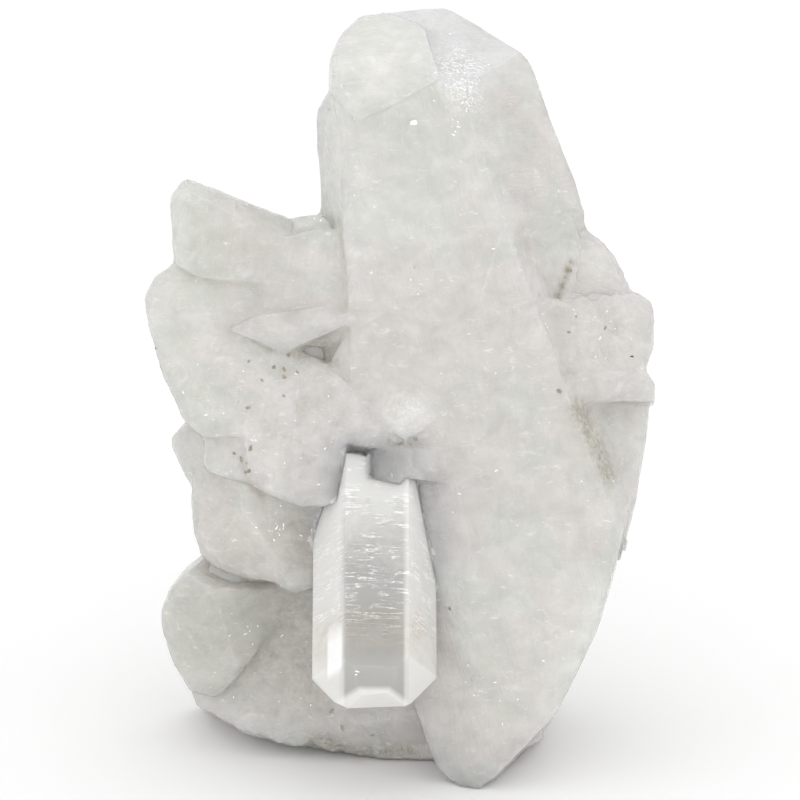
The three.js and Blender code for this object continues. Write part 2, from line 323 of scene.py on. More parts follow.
def stain_and_shade_values(layout: Layout, places: np.ndarray) -> np.ndarray:
    """Return each point's share of stain and of painted shade in the hollows.

    Args:
        layout: The cluster's layout.
        places: One row a point, in the row frame, in metres.

    Returns:
        One value a point, from 0 to 1.
    """
    found = layout.find(places)
    flat = found[:, [0, 2]]
    stain = np.zeros(len(places))
    for trail in TRAILS:
        away = np.full(len(places), np.inf)
        for start, end in zip(trail.path, trail.path[1:]):
            a, run = np.array(start), np.array(end) - np.array(start)
            share = np.clip((flat - a) @ run / (run @ run), 0.0, 1.0)
            away = np.minimum(away, np.linalg.norm(flat - a - share[:, None] * run, axis=1))
        stain = np.maximum(stain, trail.strength * np.exp(-((away / trail.width) ** 2)))
    return np.where(found[:, 1] < TRAIL_DEPTH, stain, 0.0)


def write_values(mesh: bpy.types.Mesh, values: dict[str, np.ndarray]) -> None:
    """Write arrays of one number a point as the mesh's attributes."""
    for name, value in values.items():
        made = mesh.attributes.new(name, "FLOAT", "POINT")
        made.data.foreach_set("value", value.astype(np.float32))


def places_of(mesh: bpy.types.Mesh) -> np.ndarray:
    """Return the mesh's points, one a row."""
    flat = np.zeros(len(mesh.vertices) * 3, np.float32)
    mesh.vertices.foreach_get("co", flat)
    return flat.reshape(-1, 3).astype(float)


# ---------------------------------------------------------------- shader helpers


@dataclass(frozen=True)
class Pattern:
    """A layer of natural unevenness.

    Scale is in features a millimetre. Rough and warp are the noise's roughness and distortion. Stretch
    draws the features out, after a turn in degrees, or along the crystal's own axes where it follows
    the grain.
    """

    scale: float
    detail: float
    rough: float = 0.5
    warp: float = 0.0
    stretch: Point = (1.0, 1.0, 1.0)
    turn: Point = (0.0, 0.0, 0.0)
    along_grain: bool = False


class Graph:
    """A short-hand for building one material's node graph."""

    def __init__(self, name: str) -> None:
        """Start an empty material of that name."""
        self.material = bpy.data.materials.new(name)
        self.material.use_nodes = True
        self.tree = self.material.node_tree
        self.tree.nodes.clear()
        self.output = self.tree.nodes.new("ShaderNodeOutputMaterial")

    def node(self, kind: str, **settings: object) -> bpy.types.Node:
        """Add a node.

        Args:
            kind: The node's type without its ShaderNode prefix.
            settings: Properties to set, or sockets when the name has a capital first letter.

        Returns:
            The new node.
        """
        made = self.tree.nodes.new("ShaderNode" + kind)
        for key, value in settings.items():
            if key[0].isupper():
                made.inputs[key.replace("_", " ")].default_value = value
            else:
                setattr(made, key, value)
        return made

    def link(self, source: Socket, target: Socket) -> None:
        """Join an output socket to an input socket."""
        self.tree.links.new(source, target)

    def give(self, target: Socket, value: Value | Point) -> None:
        """Link a socket to an input, or set the input to a number or colour."""
        if isinstance(value, Socket):
            self.link(value, target)
        else:
            target.default_value = (*value, 1.0) if isinstance(value, tuple) else value

    def coordinates(self, scale: Point, turn: Point) -> Socket:
        """Return object coordinates in millimetres, stretched and turned.

        Args:
            scale: Stretch along each axis after the turn, with 1 for one unit a millimetre.
            turn: Euler angles of the turn, in degrees.

        Returns:
            The vector socket.
        """
        source = self.node("TexCoord")
        mapping = self.node("Mapping")
        mapping.inputs["Rotation"].default_value = [math.radians(angle) for angle in turn]
        mapping.inputs["Scale"].default_value = [value / MM for value in scale]
        self.link(source.outputs["Object"], mapping.inputs["Vector"])
        return mapping.outputs["Vector"]

    def grain(self, scale: Point) -> Socket:
        """Return the crystal's own coordinates in millimetres, stretched: z runs along its axis."""
        source = self.node("Attribute", attribute_name="grain")
        mapping = self.node("Mapping")
        mapping.inputs["Scale"].default_value = scale
        self.link(source.outputs["Vector"], mapping.inputs["Vector"])
        return mapping.outputs["Vector"]

    def pattern(self, layer: Pattern) -> Socket:
        """Return the value of a layer of unevenness, from 0 to 1."""
        made = self.node("TexNoise", Scale=layer.scale, Detail=layer.detail)
        made.inputs["Roughness"].default_value = layer.rough
        made.inputs["Distortion"].default_value = layer.warp
        own = self.grain(layer.stretch) if layer.along_grain else self.coordinates(layer.stretch, layer.turn)
        self.link(own, made.inputs["Vector"])
        return made.outputs["Fac"]

    def ramp(self, value: Socket, stops: list[tuple[float, Point]]) -> Socket:
        """Return a colour ramp over a value.

        Args:
            value: The socket that drives the ramp.
            stops: Each stop's place and colour.

        Returns:
            The ramp's colour socket.
        """
        made = self.node("ValToRGB")
        for element, (place, colour) in zip(made.color_ramp.elements, stops, strict=True):
            element.position = place
            element.color = (*colour, 1.0)
        self.link(value, made.inputs["Fac"])
        return made.outputs["Color"]

    def remap(self, value: Socket, given: Range, wanted: Range = (0.0, 1.0)) -> Socket:
        """Return a value moved from one range to another, and kept inside it."""
        ends = {"From Min": given[0], "From Max": given[1], "To Min": wanted[0], "To Max": wanted[1]}
        made = self.node("MapRange", **ends)
        self.link(value, made.inputs["Value"])
        return made.outputs["Result"]

    def band(self, value: Socket, rise: Range, fall: Range, peak: float = 1.0) -> Socket:
        """Return a share that rises to its peak over one range of a value and falls over another."""
        return self.times(self.remap(value, rise, (0.0, peak)), self.remap(value, fall, (1.0, 0.0)))

    def mix(self, factor: Value, a: Socket | Point, b: Socket | Point) -> Socket:
        """Return a mix of two colours.

        Args:
            factor: The second colour's share.
            a: The first colour, or its socket.
            b: The second colour, or its socket.

        Returns:
            The mixed colour socket.
        """
        made = self.node("Mix", data_type="RGBA")
        for place, value in zip(COLOUR_MIX_INPUTS, (factor, a, b)):
            self.give(made.inputs[place], value)
        return made.outputs[COLOUR_MIX_OUTPUT]

    def math(self, kind: str, a: Value, b: Value = 0.0) -> Socket:
        """Return the result of a one- or two-value math node."""
        made = self.node("Math", operation=kind)
        for socket, value in zip(made.inputs, (a, b)):
            self.give(socket, value)
        return made.outputs[0]

    def times(self, a: Value, b: Value) -> Socket:
        """Return the product of two values."""
        return self.math("MULTIPLY", a, b)

    def plus(self, a: Value, b: Value) -> Socket:
        """Return the sum of two values."""
        return self.math("ADD", a, b)

    def minus(self, a: Value, b: Value) -> Socket:
        """Return the first value less the second."""
        return self.math("SUBTRACT", a, b)

    def larger(self, a: Value, b: Value) -> Socket:
        """Return the larger of two values."""
        return self.math("MAXIMUM", a, b)

    def away(self, value: Socket, centre: float) -> Socket:
        """Return how far a value is from a centre, on either side."""
        return self.math("ABSOLUTE", self.minus(value, centre))

    def attribute(self, name: str) -> Socket:
        """Return the value of a mesh attribute."""
        return self.node("Attribute", attribute_name=name).outputs["Fac"]

    def bump(self, height: Socket, depth_mm: float, strength: float, over: Socket | None = None) -> Socket:
        """Return a bumped normal.

        Args:
            height: The height socket, from 0 to 1.
            depth_mm: The height of 1, in millimetres.
            strength: The bump's strength.
            over: A normal that this bump goes over.

        Returns:
            The normal socket.
        """
        made = self.node("Bump", Strength=strength, Distance=depth_mm * MM)
        self.link(height, made.inputs["Height"])
        if over is not None:
            self.link(over, made.inputs["Normal"])
        return made.outputs["Normal"]

    def scattering(self, share: Point, depth_mm: float, **settings: float) -> bpy.types.Node:
        """Add a surface shader that scatters light inside.

        Args:
            share: How far red, green and blue light goes, as shares of the depth.
            depth_mm: How deep the light goes, in millimetres.
            settings: The shader's other sockets.

        Returns:
            The shader.
        """
        shader = self.node("BsdfPrincipled", Subsurface_Weight=1.0, Subsurface_Radius=share, **settings)
        shader.inputs["Subsurface Scale"].default_value = depth_mm * MM
        return shader

    def finished(self, shader: bpy.types.Node) -> bpy.types.Material:
        """Return the material, with that shader as its surface."""
        self.link(shader.outputs[0], self.output.inputs["Surface"])
        return self.material


# ---------------------------------------------------------------- finishes


@dataclass(frozen=True)
class Flaw:
    """One kind of bright flaw: its pattern, the values over which it fades in, and its strength."""

    pattern: Pattern
    fade: Range
    strength: float


WISPS = Flaw(Pattern(0.55, 8.0, 0.7, 0.5, (0.45, 0.6, 1.0), (12.0, 35.0, -22.0)), (0.58, 0.80), 0.3)
FIBRES = Flaw(Pattern(1.0, 5.0, 0.7, 0.4, (2.6, 2.6, 0.45), along_grain=True), (0.62, 0.80), 0.4)
STROKES = Flaw(Pattern(1.1, 4.0, 0.6, 0.9, (0.55, 0.8, 1.5), (0.0, -14.0, 0.0)), (0.63, 0.71), 0.25)
SPECKS = Flaw(Pattern(2.8, 3.0, 0.8), (0.72, 0.79), 0.3)


@dataclass(frozen=True)
class MilkySkin:
    """The cluster's outer skin: half clear and half milky, in warm and cool patches, with glossy faces."""

    warm: Point = (0.90, 0.866, 0.84)
    cool: Point = (0.882, 0.884, 0.842)
    bright: Point = (0.985, 0.985, 0.98)
    # The colour of painted shade.
    dark: Point = (0.62, 0.61, 0.56)
    # The colour of iron stain and dust, and of the painted shade in the hollows.
    stain: Point = (0.46, 0.43, 0.33)
    # A paler lilac: painted light on the lit top faces.
    lilac: Point = (0.945, 0.925, 0.965)
    scatter: Point = (1.0, 0.97, 0.92)
    scatter_mm: float = 4.5
    patches: Pattern = Pattern(0.085, 5.0, 0.6, 0.5)
    cool_at: float = 0.45
    warm_at: float = 0.56
    facet_tint: float = 0.05
    warmth_tint: float = 0.2
    crown_light: float = 0.85
    speckle: Pattern = Pattern(1.1, 5.0, 0.7)
    speckle_fade: Range = (0.38, 0.62)
    speckle_stain_and_shade: Range = (0.25, 1.25)
    # How far the creases are darkened towards the stain colour.
    crease_darkening: float = 0.04
    bright_flaws: tuple[Flaw, ...] = (WISPS, FIBRES, STROKES, SPECKS)
    fractures: tuple[tuple[Point, float], ...] = (
        ((0.0, 25.0, 0.0), 0.75),
        ((40.0, -35.0, 20.0), 1.1),
        ((0.0, 80.0, 10.0), 1.6),
    )
    fracture_width: float = 0.028
    gap_fade: Range = (0.42, 0.55)
    # The rims' bright lines: white chipped edges, and a painted highlight along the edges.
    rim_breaks: Pattern = Pattern(0.9, 4.0, 0.6)
    break_fade: Range = (0.35, 0.65)
    break_share: Range = (0.3, 1.3)
    rim_fade: Range = (0.45, 0.9)
    rim_strength: float = 0.08
    cloud: Pattern = Pattern(0.24, 6.0, 0.64, 0.4, (0.9, 0.9, 1.1), (0.0, 15.0, 0.0))
    cloud_fade: Range = (0.36, 0.64)
    clearness: Range = (0.56, 0.44)
    flaw_milk: float = 0.6
    zone_milk: float = 0.6
    grain: Pattern = Pattern(1.3, 3.0, 0.55)
    grain_fade: Range = (0.3, 0.7)
    roughness: Range = (0.08, 0.19)
    broken_roughness: float = 0.1
    growth_steps: Pattern = Pattern(1.0, 6.0, 0.6, 0.2, (0.16, 0.16, 2.2), along_grain=True)
    pits: Pattern = Pattern(0.8, 5.0, 0.62)
    step_bump: Range = (0.5, 0.55)
    pit_bump: Range = (1.6, 0.6)
    grain_bump: Range = (0.09, 0.5)

    def colour(self, graph: Graph, bright_share: Socket) -> Socket:
        """Return the skin's colour.

        Args:
            graph: The material's graph.
            bright_share: How much of each place is a bright flaw.

        Returns:
            The colour socket.
        """
        tint = graph.plus(graph.pattern(self.patches), graph.times(graph.attribute("facet"), self.facet_tint))
        tint = graph.plus(tint, graph.times(graph.attribute("warmth"), self.warmth_tint))
        colour = graph.ramp(tint, [(self.cool_at, self.cool), (self.warm_at, self.warm)])
        # Painted light: the upward faces at the top and the lit cap facet are made paler and lilac.
        crown = graph.times(graph.attribute("crown"), self.crown_light)
        colour = graph.mix(graph.larger(graph.attribute("lilac"), crown), colour, self.lilac)
        # Painted shade: each zone's shade darkens the colour.
        colour = graph.mix(graph.attribute("shade"), colour, self.dark)
        colour = graph.mix(bright_share, colour, self.bright)
        # Stain trails, painted shade in the hollows and a slight darkening of the creases, all broken up by
        # speckles, go towards the stain colour.
        broken = graph.remap(graph.pattern(self.speckle), self.speckle_fade, self.speckle_stain_and_shade)
        crease = graph.times(graph.attribute("crease"), self.crease_darkening)
        stain_and_shade = graph.times(graph.larger(graph.attribute("stain"), crease), broken)
        return graph.mix(stain_and_shade, colour, self.stain)

    def fracture(self, graph: Graph, turn: Point, scale: float) -> Socket:
        """Return the share of one set of fine broken fracture lines.

        Args:
            graph: The material's graph.
            turn: The lines' turn, in degrees.
            scale: How close they lie, in lines a millimetre.

        Returns:
            The share socket.
        """
        folds = graph.pattern(Pattern(scale, 3.0, 0.6, 1.0, (0.45, 1.0, 1.0), turn))
        gaps = graph.pattern(Pattern(1.3, 2.0, turn=turn))
        line = graph.remap(graph.away(folds, 0.5), (0.0, self.fracture_width), (1.0, 0.0))
        line = graph.times(line, graph.remap(gaps, self.gap_fade))
        return graph.times(line, graph.attribute("web"))

    def flaws(self, graph: Graph) -> Socket:
        """Return the share of bright flaws: wisps, short fibres, specks, fractures and chipped edges, whose
        bright line is partly a painted highlight.
        """
        shares = [
            graph.remap(graph.pattern(flaw.pattern), flaw.fade, (0.0, flaw.strength))
            for flaw in self.bright_flaws
        ]
        shares += [self.fracture(graph, turn, scale) for turn, scale in self.fractures]
        # Along the rims: white chips, and a painted highlight along the edges.
        broken = graph.remap(graph.pattern(self.rim_breaks), self.break_fade, self.break_share)
        rim = graph.times(graph.attribute("rim"), broken)
        shares.append(graph.remap(rim, self.rim_fade, (0.0, self.rim_strength)))
        return reduce(graph.larger, shares)

    def clear_share(self, graph: Graph, flaws: Socket) -> Socket:
        """Return how see-through each place is, less where it is flawed or milky."""
        clear = graph.remap(graph.pattern(self.cloud), self.cloud_fade, self.clearness)
        clear = graph.minus(clear, graph.times(flaws, self.flaw_milk))
        clear = graph.minus(clear, graph.times(graph.attribute("milk"), self.zone_milk))
        return graph.larger(clear, 0.0)

    def build(self) -> bpy.types.Material:
        """Return the material."""
        graph = Graph("milky_quartz")
        flaws = self.flaws(graph)
        shader = graph.scattering(self.scatter, self.scatter_mm, IOR=QUARTZ_IOR)
        graph.link(self.colour(graph, flaws), shader.inputs["Base Color"])
        graph.link(self.clear_share(graph, flaws), shader.inputs["Transmission Weight"])
        grain = graph.pattern(self.grain)
        rough = graph.attribute("rough")
        gloss = graph.remap(grain, self.grain_fade, self.roughness)
        gloss = graph.plus(gloss, graph.times(rough, self.broken_roughness))
        graph.link(gloss, shader.inputs["Roughness"])
        normal = graph.bump(graph.pattern(self.growth_steps), *self.step_bump)
        normal = graph.bump(graph.times(graph.pattern(self.pits), rough), *self.pit_bump, normal)
        normal = graph.bump(grain, *self.grain_bump, normal)
        graph.link(normal, shader.inputs["Normal"])
        return graph.finished(shader)


@dataclass(frozen=True)
class CloudyCore:
    """The cloudy inside of milky quartz, full of tiny bubbles."""

    warm: Point = (0.95, 0.912, 0.89)
    cool: Point = (0.93, 0.935, 0.90)
    # The colour of painted shade.
    dark: Point = (0.66, 0.65, 0.61)
    scatter: Point = (1.0, 0.97, 0.94)
    scatter_mm: float = 8.0
    cloud: Pattern = Pattern(0.12, 6.0, 0.55, 0.4)
    cool_at: float = 0.44
    warm_at: float = 0.56
    warmth_tint: float = 0.16
    ior: float = 1.1
    roughness: float = 0.7

    def build(self) -> bpy.types.Material:
        """Return the material."""
        graph = Graph("cloudy_core")
        warmth = graph.times(graph.attribute("warmth"), self.warmth_tint)
        tint = graph.plus(graph.pattern(self.cloud), warmth)
        colour = graph.ramp(tint, [(self.cool_at, self.cool), (self.warm_at, self.warm)])
        # Painted shade: each zone's shade darkens the core.
        colour = graph.mix(graph.attribute("shade"), colour, self.dark)
        shader = graph.scattering(self.scatter, self.scatter_mm, IOR=self.ior, Roughness=self.roughness)
        graph.link(colour, shader.inputs["Base Color"])
        return graph.finished(shader)


@dataclass(frozen=True)
class ClearQuartz:
    """Clear rock crystal, cloudy towards its root, with fine growth steps across its faces.

    Places along the crystal are millimetres from its root, and places across it are millimetres off
    its axis. A pair of ranges is where something fades in and where it fades out again.
    """

    tint: Point = (0.845, 0.84, 0.815)
    iron: Point = (0.70, 0.64, 0.57)
    # The colour of the pale growth steps and of the painted highlights and glint.
    bright: Point = (1.0, 1.0, 0.995)
    scatter: Point = (1.0, 0.97, 0.94)
    scatter_mm: float = 3.0
    cloud: Pattern = Pattern(0.35, 7.0, 0.65, 0.6)
    growth_steps: Pattern = Pattern(1.0, 5.0, 0.65, 0.0, (0.1, 0.1, 1.1), along_grain=True)
    step_width: float = 0.022
    step_strength: float = 0.6
    step_clouds: Range = (0.46, 0.58)
    steps_end: Range = (32.0, 38.0)
    cloud_wander: float = 16.0
    clears: Range = (15.0, 27.0)
    clearness: Range = (0.2, 0.6)
    front_edge: Range = (3.8, 4.8)
    end_face: Range = (43.0, 43.6)
    side_clearness: float = 0.3
    # Painted highlights along the ridges beside the front face, and a painted glint on a strip at its left.
    ridge_across: float = 4.3
    ridge_fade: Range = (0.08, 0.32)
    ridge_along: Range = (24.0, 36.0)
    ridge_strength: float = 0.2
    strip_across: tuple[Range, Range] = ((-6.5, -6.2), (-4.5, -4.2))
    strip_along: tuple[Range, Range] = ((33.5, 36.5), (40.2, 41.0))
    strip_strength: float = 0.9
    iron_along: tuple[Range, Range] = ((30.0, 34.0), (37.0, 40.0))
    iron_clouds: Range = (0.4, 0.6)
    iron_share: Range = (0.2, 1.0)
    iron_strength: float = 0.7
    roughness_fade: Range = (0.35, 0.65)
    roughness: Range = (0.05, 0.18)
    cloud_bump: Range = (0.4, 0.4)
    step_bump: Range = (0.15, 0.35)

    def bands(self, graph: Graph, along: Socket, cloud: Socket, steps: Socket) -> Socket:
        """Return the share of pale growth steps across the faces, which end short of the broken end."""
        bands = graph.remap(graph.away(steps, 0.5), (0.0, self.step_width), (self.step_strength, 0.0))
        bands = graph.times(bands, graph.remap(cloud, self.step_clouds))
        return graph.times(bands, graph.remap(along, self.steps_end, (1.0, 0.0)))

    def highlights(self, graph: Graph, side: Socket, across: Socket, along: Socket) -> Socket:
        """Return the share of the painted highlights along the ridges beside the front face and of the
        painted glint on a strip at its left.
        """
        ridge = graph.remap(graph.away(across, self.ridge_across), self.ridge_fade, (1.0, 0.0))
        ridge = graph.times(ridge, graph.remap(along, self.ridge_along, (0.0, self.ridge_strength)))
        strip = graph.band(side, *self.strip_across)
        strip = graph.times(strip, graph.band(along, *self.strip_along, self.strip_strength))
        return graph.larger(ridge, strip)

    def clear_share(self, graph: Graph, across: Socket, along: Socket, cloud: Socket) -> Socket:
        """Return how see-through each place is: most in the front face, away from the root and end."""
        wander = graph.times(graph.minus(cloud, 0.5), self.cloud_wander)
        clear = graph.remap(graph.plus(along, wander), self.clears, self.clearness)
        for place, edge in ((across, self.front_edge), (along, self.end_face)):
            clear = graph.times(clear, graph.remap(place, edge, (1.0, self.side_clearness)))
        return clear

    def build(self) -> bpy.types.Material:
        """Return the material."""
        graph = Graph("clear_quartz")
        own = graph.node("SeparateXYZ")
        graph.link(graph.grain((1.0, 1.0, 1.0)), own.inputs[0])
        side, along = own.outputs["X"], own.outputs["Z"]
        across = graph.math("ABSOLUTE", side)
        cloud, steps = graph.pattern(self.cloud), graph.pattern(self.growth_steps)
        bands = self.bands(graph, along, cloud, steps)
        # The painted highlights and glint and the pale growth steps take the bright colour.
        bright = graph.larger(self.highlights(graph, side, across, along), bands)
        iron = graph.band(along, *self.iron_along, self.iron_strength)
        iron = graph.times(iron, graph.remap(cloud, self.iron_clouds, self.iron_share))
        colour = graph.mix(bright, graph.mix(iron, self.tint, self.iron), self.bright)
        clear = graph.minus(self.clear_share(graph, across, along, cloud), bands)
        clear = graph.times(graph.larger(clear, 0.0), graph.minus(1.0, bright))
        normal = graph.bump(cloud, *self.cloud_bump, graph.bump(steps, *self.step_bump))
        shader = graph.scattering(self.scatter, self.scatter_mm, IOR=QUARTZ_IOR)
        graph.link(colour, shader.inputs["Base Color"])
        graph.link(clear, shader.inputs["Transmission Weight"])
        graph.link(graph.remap(cloud, self.roughness_fade, self.roughness), shader.inputs["Roughness"])
        graph.link(normal, shader.inputs["Normal"])
        return graph.finished(shader)


@dataclass(frozen=True)
class Fleck:
    """The finish of small flecks: iron stain, or the white of a broken chip."""

    name: str = "iron_stain"
    light: Point = (0.42, 0.37, 0.30)
    deep: Point = (0.24, 0.20, 0.15)
    roughness: float = 0.6
    mottle: Pattern = Pattern(1.4, 5.0, 0.6)
    deep_at: float = 0.35
    light_at: float = 0.65
    mottle_bump: Range = (0.1, 0.5)

    def build(self) -> bpy.types.Material:
        """Return the material."""
        graph = Graph(self.name)
        mottle = graph.pattern(self.mottle)
        shader = graph.node("BsdfPrincipled", Roughness=self.roughness)
        colour = graph.ramp(mottle, [(self.deep_at, self.deep), (self.light_at, self.light)])
        graph.link(colour, shader.inputs["Base Color"])
        graph.link(graph.bump(mottle, *self.mottle_bump), shader.inputs["Normal"])
        return graph.finished(shader)


@dataclass(frozen=True)
class Veil:
    """A pale veil of tiny bubbles sealed in the crystal, broken up so that light passes between."""

    name: str = "crystal_veils"
    colour: Point = (0.93, 0.93, 0.92)
    roughness: float = 0.6
    cloud: Pattern = Pattern(1.1, 8.0, 0.7, 0.8)
    fade: Range = (0.495, 0.68)

    def build(self) -> bpy.types.Material:
        """Return the material."""
        graph = Graph(self.name)
        shader = graph.node("BsdfPrincipled", Roughness=self.roughness)
        shader.inputs["Base Color"].default_value = (*self.colour, 1.0)
        blend = graph.node("MixShader")
        graph.link(graph.remap(graph.pattern(self.cloud), self.fade), blend.inputs[0])
        graph.link(graph.node("BsdfTransparent").outputs[0], blend.inputs[1])
        graph.link(shader.outputs[0], blend.inputs[2])
        return graph.finished(blend)


@dataclass(frozen=True)
class StudioFloor:
    """The plain pale floor."""

    colour: Point = (0.93, 0.93, 0.93)
    roughness: float = 0.9

    def build(self) -> bpy.types.Material:
        """Return the material."""
        graph = Graph("studio_floor")
        shader = graph.node("BsdfPrincipled", Roughness=self.roughness)
        shader.inputs["Base Color"].default_value = (*self.colour, 1.0)
        return graph.finished(shader)


GLITTER = Fleck("bright_fleck", light=(0.97, 0.97, 0.97), deep=(0.90, 0.90, 0.90), roughness=0.12)


# ---------------------------------------------------------------- mesh helpers


def add_piece(name: str, bm: bmesh.types.BMesh, material: bpy.types.Material) -> bpy.types.Object:
    """Make a bmesh into a piece of the cluster.

    Args:
        name: The piece's name.
        bm: The mesh, in the row frame, in metres. It is freed.
        material: Its finish.

    Returns:
        The new object, riding on the cluster's body.
    """
    mesh = bpy.data.meshes.new(name)
    bm.to_mesh(mesh)
    bm.free()
    mesh.materials.append(material)
    piece = bpy.data.objects.new(name, mesh)
    bpy.context.scene.collection.objects.link(piece)
    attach(piece, BODY)
    log.info("%s: %d faces", name, len(mesh.polygons))
    return piece


def freeze(piece: bpy.types.Object) -> None:
    """Make a piece's modifiers part of its mesh."""
    graph = bpy.context.evaluated_depsgraph_get()
    shaped = bpy.data.meshes.new_from_object(piece.evaluated_get(graph))
    piece.modifiers.clear()
    old = piece.data
    piece.data = shaped
    bpy.data.meshes.remove(old)


def cut_socket(piece: bpy.types.Object, cutter: bmesh.types.BMesh) -> None:
    """Cut the clear crystal's socket out of the body.

    Args:
        piece: The body.
        cutter: The crystal's shape, grown by the gap. It is freed.
    """
    mesh = bpy.data.meshes.new("socket_cutter")
    cutter.to_mesh(mesh)
    cutter.free()
    tool = bpy.data.objects.new("socket_cutter", mesh)
    bpy.context.scene.collection.objects.link(tool)
    modifier = piece.modifiers.new("socket", "BOOLEAN")
    modifier.operation = "DIFFERENCE"
    modifier.solver = "EXACT"
    modifier.object = tool
    freeze(piece)
    bpy.data.objects.remove(tool)
    bpy.data.meshes.remove(mesh)


def cut_away(bm: bmesh.types.BMesh, point: Vector, normal: Vector) -> None:
    """Cut off what lies outside a plane and close the cut.

    Args:
        bm: A closed convex mesh.
        point: A point on the plane.
        normal: The plane's outward normal.
    """
    everything = bm.verts[:] + bm.edges[:] + bm.faces[:]
    cut = bmesh.ops.bisect_plane(
        bm, geom=everything, dist=1e-8, plane_co=point, plane_no=normal, clear_outer=True
    )
    rim = [item for item in cut["geom_cut"] if isinstance(item, bmesh.types.BMEdge)]
    if rim:
        bmesh.ops.contextual_create(bm, geom=rim)


def skin_of(*pieces: bpy.types.Object) -> BVHTree:
    """Return the surface of one or more pieces, for finding places on it."""
    points, faces = [], []
    for piece in pieces:
        first = len(points)
        points += [vert.co[:] for vert in piece.data.vertices]
        faces += [[first + index for index in face.vertices] for face in piece.data.polygons]
    return BVHTree.FromPolygons(points, faces)


def keep_inside(bm: bmesh.types.BMesh, skin: BVHTree, depth: float) -> None:
    """Push every point that is too near a skin, or outside it, to a depth inside.

    Args:
        bm: The mesh to move.
        skin: The skin, whose faces point out.
        depth: The least depth, in metres.
    """
    for vert in bm.verts:
        place, normal, _, _ = skin.find_nearest(vert.co)
        if (vert.co - place).dot(normal) > -depth:
            vert.co = place - normal * depth


def soften(bm: bmesh.types.BMesh, verts: list[bmesh.types.BMVert], rounds: int) -> None:
    """Move points halfway towards the middle of their neighbours, round by round."""
    axes = {"use_axis_x": True, "use_axis_y": True, "use_axis_z": True}
    for _ in range(rounds):
        bmesh.ops.smooth_vert(bm, verts=verts, factor=0.5, **axes)


def refine(bm: bmesh.types.BMesh, longest: float, rounds: int = 8) -> None:
    """Split every edge that is longer than a limit, round by round.

    Args:
        bm: The mesh to refine.
        longest: The longest edge to keep, in metres.
        rounds: The most rounds of splitting.
    """
    bmesh.ops.triangulate(bm, faces=bm.faces[:])
    for _ in range(rounds):
        long_edges = [edge for edge in bm.edges if edge.calc_length() > longest]
        if not long_edges:
            break
        bmesh.ops.subdivide_edges(bm, edges=long_edges, cuts=1, use_grid_fill=False)
        bmesh.ops.triangulate(bm, faces=[face for face in bm.faces if len(face.verts) > 3])


# ---------------------------------------------------------------- the clear crystal


